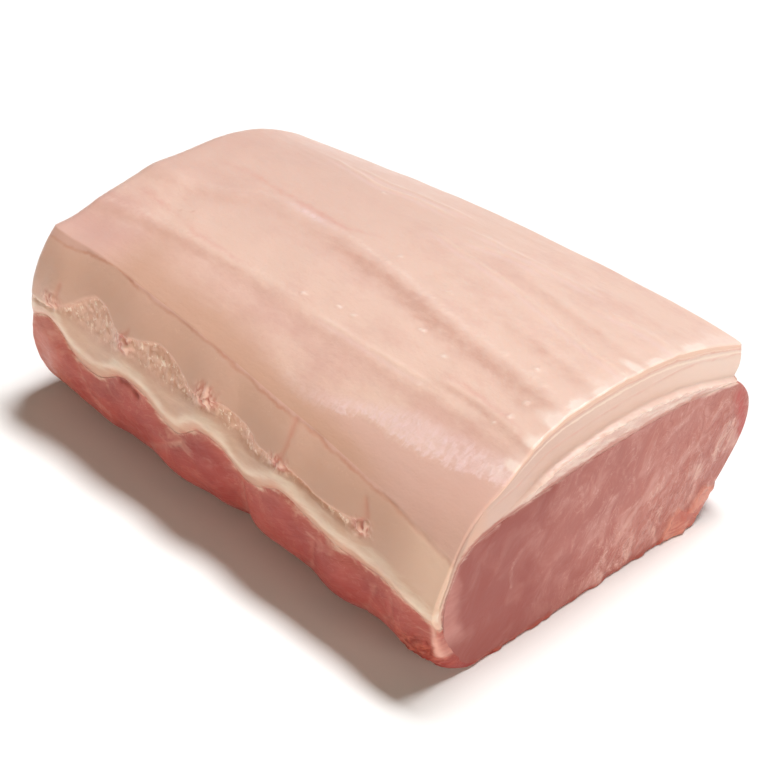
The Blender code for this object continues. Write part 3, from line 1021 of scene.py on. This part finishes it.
def side_fat_finish():
    fat = Finish(
        "side_fat", Subsurface_Weight=0.3, Subsurface_Scale=0.0012, Subsurface_Radius=FAT_GLOW, IOR=1.45,
        Coat_Roughness=0.12, Coat_IOR=1.5,
    )
    broad = fat.noise(14, 3, 0.5)
    small = fat.noise(2.4, 4, 0.65)
    gaps = fat.noise(9, 2, 0.5)
    streaks = fat.noise(3.0, 4, 0.6, stretch=(4, 1, 1), turn=(0, 0.12, 0), distortion=0.6)
    shreds = fat.noise(2.6, 2, 0.5, stretch=(1, 1, 1.8), turn=MEMBRANE_SLANT, distortion=0.6)
    by_corner = fat.look("by_corner")

    colour = fat.mix(((broad - 0.4) * 1.5).clipped(), SIDE_FAT, SIDE_FAT_BLOTCH)
    middle = fat.look("past_middle") * (1.0 - by_corner)
    colour = fat.mix(middle * 0.45, colour, SIDE_FAT_MIDDLE)
    colour = fat.mix(by_corner * fat.look("on_near") * 0.8, colour, SIDE_FAT_CORNER)
    below_skin = fat.look("below_skin")
    colour = fat.mix(below_skin.ramp(0.4, -0.8) * 0.6, colour, RIND_PINK)
    crease = (below_skin + (small - 0.5) * 1.2).hill(0.9) * (1.0 - by_corner * 0.6)
    colour = fat.mix(crease * (gaps * 1.5 - 0.2).clipped(), colour, CREASE_PINK)
    # Painted glints on pale crumbs below the skin's edge.
    crumbs = (fat.noise(1.0, 2, 0.6) - 0.60).ramp(0, 0.08) * (gaps - 0.3).clipped()
    colour = fat.mix((below_skin - 2.6).hill(2.4) * crumbs * 0.7, colour, CREASE_CRUMB_GLINT)

    inner = fat.look("above_foot").ramp(1.5, -1.5) * fat.look("on_near")
    colour = colour_inner_fat(fat, colour, inner, streaks, broad)
    tear = fat.look("tear")
    bloody = (fat.look("bloody") * 1.6 + (shreds - 0.5) * 0.9 - 0.2).clipped()
    colour = colour_membrane(fat, colour, tear, shreds, bloody, broad, gaps)

    fat.bump(small * 0.12 + broad * 0.5 + streaks * inner * 0.15)
    fat.bump(shreds * tear * 0.4)
    roughness = 0.42 - tear * 0.24 - bloody * 0.15 - inner * 0.1 + (small - 0.5) * 0.15
    return fat.finish(colour, roughness, coat=tear * 0.15)


def colour_cut_skin(fat, colour, small, drawn, lip):
    """The cut edge of the rind, with a pink line of painted shadow and a white line under it, and the pink
    layer in the fat.
    """
    under_rind = fat.look("under_rind") + (small - 0.5) * 0.8
    skin = under_rind.ramp(SKIN_THICKNESS + 0.2, SKIN_THICKNESS - 1.2) * lip
    colour = fat.mix(skin, colour, CUT_SKIN)
    under_skin = under_rind - SKIN_THICKNESS
    # Painted shadow: a pink line under the skin's overhanging edge.
    pink_line = (under_skin + (drawn - 0.5) * 1.5).hill(0.6) * lip
    colour = fat.mix(pink_line * (small * 1.4).clipped(), colour, SKIN_SHADOW_LINE_PINK)
    white_line = (under_skin - 1.5 + (drawn - 0.5) * 1.5).hill(0.8) * fat.look("on_ledge")
    colour = fat.mix(white_line * 0.75, colour, WHITE_LINE)
    pink_layer = (fat.look("above_pink") + (drawn - 0.5) * 2.0).hill(0.8) * lip
    return fat.mix(pink_layer * ((drawn - 0.3) * 1.6).clipped(), colour, PINK_LAYER_LINE)


def cut_fat_finish():
    fat = Finish(
        "cut_fat", Subsurface_Weight=0.3, Subsurface_Scale=0.0014, Subsurface_Radius=FAT_GLOW, IOR=1.45
    )
    small = fat.noise(1.6, 4, 0.65)
    drawn = fat.noise(1.6, 4, 0.65, stretch=(1, 5, 1), turn=(0.1, 0, 0), distortion=0.5)
    films = fat.noise(4.0, 3, 0.6, stretch=(1, 2.5, 1), distortion=0.8)
    lip = fat.look("lip")
    on_ledge = fat.look("on_ledge")
    above_ledge = fat.look("above_ledge")
    from_near = fat.look("from_near")
    farther = from_near.ramp(-60, 30)

    colour = fat.mix((farther + (drawn - 0.5) * 0.5).clipped(), CUT_FAT_NEAR, CUT_FAT_MIDDLE)
    colour = fat.mix(from_near.ramp(15, 60) * 0.8, colour, CUT_FAT_FAR)
    colour = fat.mix(lip.ramp(0.6, 0.0), colour, SIDE_FAT)
    colour = colour_cut_skin(fat, colour, small, drawn, lip)
    ledge = above_ledge.ramp(0.5, -0.8) * on_ledge
    colour = fat.mix(ledge * 0.85, colour, fat.mix(drawn.ramp(0.38, 0.62), LEDGE_PINK, LEDGE_CREAM))
    # Painted highlight along the ledge's upper edge, with its pale crumbs.
    bright = (above_ledge + 0.4 + (drawn - 0.5) * 2.0).hill(1.0) * on_ledge * (small * 1.6 - 0.3).clipped()
    colour = fat.mix((bright * 0.8 + fat.look("crumbs") * 0.6).clipped(), colour, LEDGE_CRUMB_HIGHLIGHT)
    far_cap = from_near.ramp(*FAR_CAP)
    near_lean = (fat.look("above_seam") - 0.9 + (films - 0.5) * 4.0).ramp(1.0, -0.5)
    seam_colour = fat.mix(farther, CUT_SEAM_NEAR, CUT_SEAM_FAR)
    colour = fat.mix(near_lean * (1.0 - far_cap * 0.8), colour, seam_colour)
    fat.bump(drawn * 0.3 * ledge + small * 0.08)
    return fat.finish(colour, 0.42 - ledge * 0.22)


# --------------------------------------------------------------------------------------------------
# Lean: relief
# --------------------------------------------------------------------------------------------------

LEAN_ARCS = (  # thin pale lines over the lobes: places along and heights
    ((-78, 25), (-72, 16), (-62, 13)),
    ((-38, 12), (-28, 19), (-18, 25)),
    ((8, 6), (14, 16), (12, 24)),
    ((44, 8), (50, 14), (51, 24)),
    ((70, 4), (76, 13), (80, 24)),
    ((84, 13), (89, 17), (88, 24)),
)

# Near side.
BROAD_LEAN_WAVES = 0.5
MEDIUM_LEAN_WAVES = 0.28
ARC_DEPTH = 0.4
CREVICE_DEPTH = 0.6
FRAY_SWELL = 0.9
FRAY_LUMPS = 1.6
FRAY_FOLD = (100, 5.5, 1.6, 1.3)  # its lowest place along, height, half height, depth
FRAY_FOLD_RISE = 0.02  # how the fold's height grows with the square of the way along

# Cut face.
DIAGONAL = 0.71  # sine and cosine of the fibres' slant
FIBRE_RELIEF = 0.03
CUT_VEIN_HEIGHT = 0.12
FOOT_SCRAPS = 0.8
FLAP_HEIGHT = 0.9


def shape_lean_side(form, broad, medium):
    """Gives the lobes their arcs, crevice and torn end, and returns their looks. Push is inwards."""
    x, y, z = form.plain.T
    torn = mottle(form.plain, 4, 13, 3)
    ragged = 0.9 * mottle(form.plain, 2.5, 16, 2)
    arcs = sum(hill(near_line(path, x, z) + 0.5 * medium, 1.1) for path in LEAN_ARCS) * form.near
    crevice = hill(np.maximum(near_line(CREVICE, x, z) + ragged, 0), 0.9) * form.near
    fray = oval(x, z, FRAY) * form.near
    fold_x, fold_z, fold_width, fold_depth = FRAY_FOLD
    above_fold = z - fold_z - FRAY_FOLD_RISE * (x - fold_x) ** 2
    push = BROAD_LEAN_WAVES * broad + MEDIUM_LEAN_WAVES * medium + ARC_DEPTH * arcs + CREVICE_DEPTH * crevice
    push = push - fray * (FRAY_SWELL + FRAY_LUMPS * torn)
    push = push + fold_depth * hill(above_fold, fold_width) * fray
    form.y = form.y + form.near * push * smoothstep(0, 5, z) * smoothstep(1.0, 0.97, form.up)
    return {
        "arcs": arcs,
        "crevice": crevice,
        "fray": fray,
        "fray_edge": hill(near_line(FRAY_EDGE, x, z) + 0.5 * medium, 1.1) * form.near,
        "by_tail": smoothstep(-78, -100, x),
    }


def shape_lean_cut(form, broad, medium):
    """Gives the cut lean its fibres, rolled foot and flap, and returns its looks. Back is into the joint."""
    x, y, z = form.plain.T
    slanted = np.stack([x, y * DIAGONAL + z * DIAGONAL, z * DIAGONAL - y * DIAGONAL], axis=1)
    fibres = mottle(slanted, 3.4, 14, 3, stretch=(1, 4, 1))
    wander = mottle(form.plain, 5, 20, 2)
    scraps = smoothstep(-0.3, 0.5, mottle(form.plain, 7, 22, 2)) * smoothstep(60, 40, y)
    flap = smoothstep(-0.7, 0.7, follow(FLAP_TOP, y) + 1.2 * mottle(form.plain, 5, 17, 3) - z)
    veins = sum(hill(near_line(path, y + 1.2 * wander, z) + 0.3 * fibres, 0.45) for path in CUT_VEINS)
    roll, roll_top = FOOT_ROLL
    foot = smoothstep(roll_top, 0, z + 1.5 * medium)
    back = FIBRE_RELIEF * fibres * smoothstep(-50, 10, y) + BROAD_LEAN_WAVES * broad - CUT_VEIN_HEIGHT * veins
    back = back + roll * foot * (1 - 0.6 * flap)
    back = back - FOOT_SCRAPS * hill(z, 1.3) * scraps
    back = back - FLAP_HEIGHT * flap * (1 + 0.6 * medium) * smoothstep(-1.0, 0.6, z)
    form.x = form.x - form.cut * back * smoothstep(1.0, 0.96, form.up)
    return {
        "veins": veins,
        "rim": hill(near_line(RED_RIM, y, z) + 0.8 * medium, 2.6),
        "pale_band": hill(near_line(PALE_BAND, y, z) + 2 * medium, 11),
        "near_veil": smoothstep(-63, -69, y + 2 * medium) * smoothstep(12, 20, z),
        "flap": flap,
        "from_near": y,
    }


def shape_lean(form):
    """Gives the form its relief and its rounded ends, and returns the looks of all its sides."""
    x, _, z = form.plain.T
    broad = mottle(form.plain, 22, 11, 2)
    medium = mottle(form.plain, 6, 12, 3, stretch=(1.6, 1, 1))
    looks = {"height": z, "below_seam": seam(x, form.along, form.across)[1] - z}
    looks.update(shape_lean_side(form, broad, medium))
    looks.update(shape_lean_cut(form, broad, medium))
    form.fill_cut_corners()
    form.round_ends()
    return looks


# --------------------------------------------------------------------------------------------------
# Lean: finishes
# --------------------------------------------------------------------------------------------------

SIDE_LEAN_GLOW = (1.0, 0.3, 0.2)  # how far red, green and blue light spread inside the lean
CUT_LEAN_GLOW = (1.0, 0.35, 0.25)
CUT_SLANT = (math.radians(-60), 0, 0)  # of the fibres on the cut face

LEAN_RED = (0.54, 0.13, 0.108)
LEAN_DEEP = (0.36, 0.068, 0.06)
LEAN_PALE = (0.68, 0.29, 0.24)
LEAN_TAIL = (0.62, 0.21, 0.145)
LEAN_UNDERSIDE_SHADE = (0.29, 0.042, 0.04)
SEAM_CREAM = (0.80, 0.56, 0.44)
ARC_PINK = (0.74, 0.40, 0.31)
FILM_PINK = (0.74, 0.42, 0.33)
CREVICE_SHADE_RED = (0.24, 0.04, 0.03)
FRAY_DEEP = (0.26, 0.035, 0.022)
FRAY_RED = (0.52, 0.15, 0.10)
FRAY_EDGE_HIGHLIGHT_PINK = (0.86, 0.50, 0.42)

CUT_LEAN_DEEP = (0.315, 0.072, 0.058)
CUT_LEAN_PALE = (0.495, 0.182, 0.153)
CUT_VEIL = (0.66, 0.37, 0.325)
CUT_FOLD = (0.36, 0.10, 0.08)
CUT_THREAD = (0.74, 0.47, 0.41)
CUT_VEIN = (0.76, 0.48, 0.42)
CUT_RIM = (0.49, 0.09, 0.08)
CUT_NEAR_VEIL = (0.60, 0.27, 0.235)
CUT_FAT_FILM = (0.74, 0.48, 0.42)
CUT_FAR_CAP = (0.84, 0.60, 0.53)
CUT_FOOT = (0.36, 0.07, 0.045)
FLAP_RED = (0.50, 0.13, 0.09)
FLAP_PINK = (0.66, 0.26, 0.19)


def lean_side_finish():
    lean = Finish(
        "lean_side", Subsurface_Weight=0.2, Subsurface_Scale=0.0016, Subsurface_Radius=SIDE_LEAN_GLOW,
        IOR=1.38, Specular_IOR_Level=0.3,
    )
    broad = lean.noise(13, 3, 0.5)
    grain = lean.noise(1.7, 4, 0.6, stretch=(4, 1.6, 1), turn=(0, 0.35, 0), distortion=0.5)
    fingers = lean.noise(3.0, 3, 0.6, stretch=(2.2, 1, 1))
    films = lean.noise(7, 3, 0.6, stretch=(2, 1, 1), distortion=1.0)
    below = lean.look("below_seam") - (fingers - 0.5) * 8

    colour = lean.mix(((broad - 0.35) * 1.6).clipped(), LEAN_DEEP, LEAN_RED)
    colour = lean.mix(((grain - 0.5) * 1.4).clipped() * 0.5, colour, LEAN_PALE)
    colour = lean.mix(lean.look("by_tail") * (0.35 + broad * 0.6), colour, LEAN_TAIL)
    colour = lean.mix(below.ramp(7.0, 0) * 0.4, colour, SEAM_RED)
    colour = lean.mix(below.ramp(1.8, -1.8), colour, SEAM_CREAM)
    thin_lines = (films - 0.5).hill(0.02) * (broad - 0.2).clipped()
    arcs = lean.look("arcs") * (films * 1.4 - 0.35).clipped()
    colour = lean.mix((arcs * 0.5 + thin_lines * 0.4).clipped(), colour, ARC_PINK)
    pale_film = (films.ramp(0.5, 0.75) * below.ramp(16, 2) * 0.45).clipped()
    colour = lean.mix(pale_film, colour, FILM_PINK)
    # Dark red in the crevice, partly painted shade in the gap.
    colour = lean.mix((lean.look("crevice") * 0.8).clipped(), colour, CREVICE_SHADE_RED)
    frayed = lean.mix(grain.ramp(0.4, 0.7), FRAY_DEEP, FRAY_RED)
    colour = lean.mix((lean.look("fray") * 1.3).clipped() * 0.9, colour, frayed)
    # Painted shade: deep crimson towards the floor, where the lobes turn under.
    underside = (lean.look("height") + (grain - 0.5) * 4 + (broad - 0.5) * 14).ramp(13, 1.0)
    colour = lean.mix(underside * 0.6, colour, LEAN_UNDERSIDE_SHADE)
    # Pale edge of the torn fold, partly painted highlight.
    colour = lean.mix(lean.look("fray_edge") * 0.7, colour, FRAY_EDGE_HIGHLIGHT_PINK)
    lean.bump(grain * 0.25 + broad * 0.6)
    return lean.finish(colour, 0.38 + (grain - 0.5) * 0.2)


def colour_veils(lean, colour, veil, crinkle, paler, band):
    """Thin pale tissue drawn over the cut, with fine dark folds and threads in it."""
    on_veil = veil.ramp(0.46, 0.66) * (0.06 + paler * 0.3 + band * 0.4)
    on_crinkle = crinkle.ramp(0.5, 0.7) * (paler * 0.08 + band * 0.45)
    colour = lean.mix((on_veil + on_crinkle).clipped(), colour, CUT_VEIL)
    dark_folds = (crinkle - 0.41).hill(0.04) * (0.06 + paler * 0.06 + band * 0.5)
    colour = lean.mix(dark_folds, colour, CUT_FOLD)
    threads = lean.noise(7.0, 4, 0.6, stretch=(1, 2.2, 1), turn=CUT_SLANT, distortion=1.2)
    pale_threads = (threads - 0.5).hill(0.016) * (paler * 0.6 + band * 0.6) * (veil * 3 - 0.9).clipped()
    colour = lean.mix((pale_threads * 0.8).clipped(), colour, CUT_THREAD)
    dark_threads = (threads - 0.57).hill(0.014) * (0.2 + paler * 0.7)
    return lean.mix((dark_threads * 0.6).clipped(), colour, CUT_FOLD)


def colour_cut_edges(lean, colour, films, veil):
    """The red rim, the veil at the near side, the fat over the seam and the dark foot of the cut."""
    colour = lean.mix((lean.look("rim") * (0.6 + films * 0.8)).clipped() * 0.9, colour, CUT_RIM)
    colour = lean.mix(lean.look("near_veil") * (0.3 + films * 0.6), colour, CUT_NEAR_VEIL)
    far_cap = lean.look("from_near").ramp(*FAR_CAP)
    near_fat = (lean.look("below_seam") - far_cap * 1.6 - (films - 0.5) * 6.0).ramp(1.2, -1.6)
    colour = lean.mix(near_fat, colour, lean.mix(far_cap, CUT_FAT_FILM, CUT_FAR_CAP))
    foot = (lean.look("height") + (veil - 0.5) * 6).ramp(2.8, 0.6)
    return lean.mix(foot * 0.85, colour, CUT_FOOT)


def lean_cut_finish():
    lean = Finish(
        "lean_cut", Subsurface_Weight=0.2, Subsurface_Scale=0.0014, Subsurface_Radius=CUT_LEAN_GLOW, IOR=1.42
    )
    broad = lean.noise(22, 2, 0.5, stretch=(1, 1.4, 1), turn=CUT_SLANT)
    veil = lean.noise(9.0, 4, 0.55, stretch=(1, 1.5, 1), turn=CUT_SLANT, distortion=0.8)
    fibre = lean.noise(1.5, 3, 0.55, stretch=(1, 2.6, 1), turn=CUT_SLANT, distortion=0.8)
    crinkle = lean.noise(3.0, 3, 0.5, stretch=(1, 2.2, 1), turn=CUT_SLANT, distortion=1.2)
    films = lean.noise(4.0, 3, 0.6, stretch=(1, 2.5, 1), distortion=0.8)
    band = lean.look("pale_band")
    flap = lean.look("flap")

    paler = (lean.look("from_near") + (broad - 0.5) * 40).ramp(-50, 30)
    tone = (paler * 0.9 + (broad - 0.5) * 0.4 + (veil - 0.5) * 0.7).clipped()
    colour = lean.mix(tone, CUT_LEAN_DEEP, CUT_LEAN_PALE)
    colour = colour_veils(lean, colour, veil, crinkle, paler, band)
    veins = (lean.look("veins") * (0.2 + (veil - 0.4) * 3)).clipped()
    colour = lean.mix(veins * 0.4, colour, CUT_VEIN)
    colour = colour_cut_edges(lean, colour, films, veil)
    colour = lean.mix(flap * 0.85, colour, lean.mix(films.ramp(0.4, 0.6), FLAP_RED, FLAP_PINK))
    folds = crinkle * (0.04 + paler * 0.12 + band * 0.85)
    lean.bump(veil * (0.3 + band * 0.3) + folds + fibre * paler * 0.03)
    return lean.finish(colour, 0.38 + (fibre - 0.5) * 0.15 - flap * 0.15)


# --------------------------------------------------------------------------------------------------
# Studio, in metres
# --------------------------------------------------------------------------------------------------

CAMERA_TARGET = (0.011, -0.0049, 0.0322)
CAMERA_AZIMUTH = 47.5
CAMERA_ELEVATION = 36
CAMERA_DISTANCE = 0.7405
CAMERA_LENS = 100  # millimetres, as is the sensor's width
CAMERA_SENSOR = 36
CAMERA_NEAREST = 0.01

NEUTRAL = (1.0, 1.0, 1.0)
WARM = (1.0, 0.87, 0.68)
CREAMY = (1.0, 0.93, 0.80)
PANELS = (  # name, azimuth, elevation, distance, width and height, strength, colour
    ("key", 180, 68, 8.0, (3.4, 1.6), 1.10, NEUTRAL),
    ("near_fill", 12, 11, 2.2, (1.0, 1.0), 0.35, WARM),
    ("cut_fill", 88, 11, 2.2, (1.0, 1.0), 0.36, CREAMY),
)
PANEL_AIM_HEIGHT = 0.03
ROOM_STRENGTH = 0.06
FLOOR_REACH = 3.0
FLOOR_WHITE = (0.97, 0.97, 0.97, 1)


def direction(azimuth, elevation):
    """Unit vector from the joint, azimuth in degrees from its near side towards its cut face."""
    turn, tilt = math.radians(azimuth), math.radians(elevation)
    return Vector((math.sin(turn) * math.cos(tilt), -math.cos(turn) * math.cos(tilt), math.sin(tilt)))


def add_camera():
    camera = bpy.data.objects.new("camera", bpy.data.cameras.new("camera"))
    link(camera)
    back = direction(CAMERA_AZIMUTH, CAMERA_ELEVATION)
    camera.location = Vector(CAMERA_TARGET) + back * CAMERA_DISTANCE
    camera.rotation_euler = back.to_track_quat("Z", "Y").to_euler()
    camera.data.lens = CAMERA_LENS
    camera.data.sensor_width = CAMERA_SENSOR
    camera.data.clip_start = CAMERA_NEAREST
    bpy.context.scene.camera = camera


def add_panel(name, azimuth, elevation, distance, size, strength, colour):
    """A soft light aimed at the joint. Strength is what falls on a surface that faces it."""
    light = bpy.data.lights.new(name, "AREA")
    light.shape = "RECTANGLE"
    light.size, light.size_y = size
    light.energy = strength * math.pi * distance**2 * math.pi
    light.color = colour
    panel = bpy.data.objects.new(name, light)
    link(panel)
    away = direction(azimuth, elevation)
    panel.location = away * distance + Vector((0, 0, PANEL_AIM_HEIGHT))
    panel.rotation_euler = away.to_track_quat("Z", "Y").to_euler()


def add_lights():
    for panel in PANELS:
        add_panel(*panel)
    world = bpy.data.worlds.new("room")
    world.use_nodes = True
    background = world.node_tree.nodes["Background"]
    background.inputs["Color"].default_value = (*WARM, 1)
    background.inputs["Strength"].default_value = ROOM_STRENGTH
    bpy.context.scene.world = world


def add_floor():
    data = bpy.data.meshes.new("floor")
    corners = [(x * FLOOR_REACH, y * FLOOR_REACH, 0) for x, y in ((-1, -1), (1, -1), (1, 1), (-1, 1))]
    data.from_pydata(corners, [], [(0, 1, 2, 3)])
    white = Finish("floor_white", Specular_IOR_Level=0.0)
    data.materials.append(white.finish(FLOOR_WHITE, 0.9))
    floor = bpy.data.objects.new("floor", data)
    link(floor)


# --------------------------------------------------------------------------------------------------
# The two pieces of the joint, and the scene
# --------------------------------------------------------------------------------------------------

FAT_CELLS = (78, 45, 15)  # along the joint, across it and through its height
LEAN_CELLS = (78, 45, 20)
SEEN_CUTS = 3  # finer cells on the sides with relief
HIDDEN_CUTS = 1


def add_rind_and_fat():
    mesh = lattice(FAT_CELLS, [((TOP, NEAR, CUT), SEEN_CUTS), ((TAIL, FAR), HIDDEN_CUTS)])
    form = Form(mesh, fat_section)
    looks = shape_rind_and_fat(form)
    materials = [
        (rind_finish(), (TOP,)),
        (side_fat_finish(), (NEAR, TAIL, FAR, UNDER)),
        (cut_fat_finish(), (CUT,)),
    ]
    piece = make_piece("rind_and_side_fat", mesh, form, looks, materials)
    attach(piece, "root")
    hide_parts("fat_cap")


def add_lean():
    mesh = lattice(LEAN_CELLS, [((NEAR, CUT), SEEN_CUTS), ((TAIL, FAR), HIDDEN_CUTS)])
    form = Form(mesh, lean_section)
    looks = shape_lean(form)
    materials = [(lean_side_finish(), (NEAR, TAIL, FAR, UNDER, TOP)), (lean_cut_finish(), (CUT,))]
    piece = make_piece("loin_lean", mesh, form, looks, materials)
    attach(piece, "root")
    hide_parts("lean")


def main():
    add_rind_and_fat()
    add_lean()
    add_floor()
    add_lights()
    add_camera()
    bpy.context.scene.view_settings.view_transform = "Standard"


main()
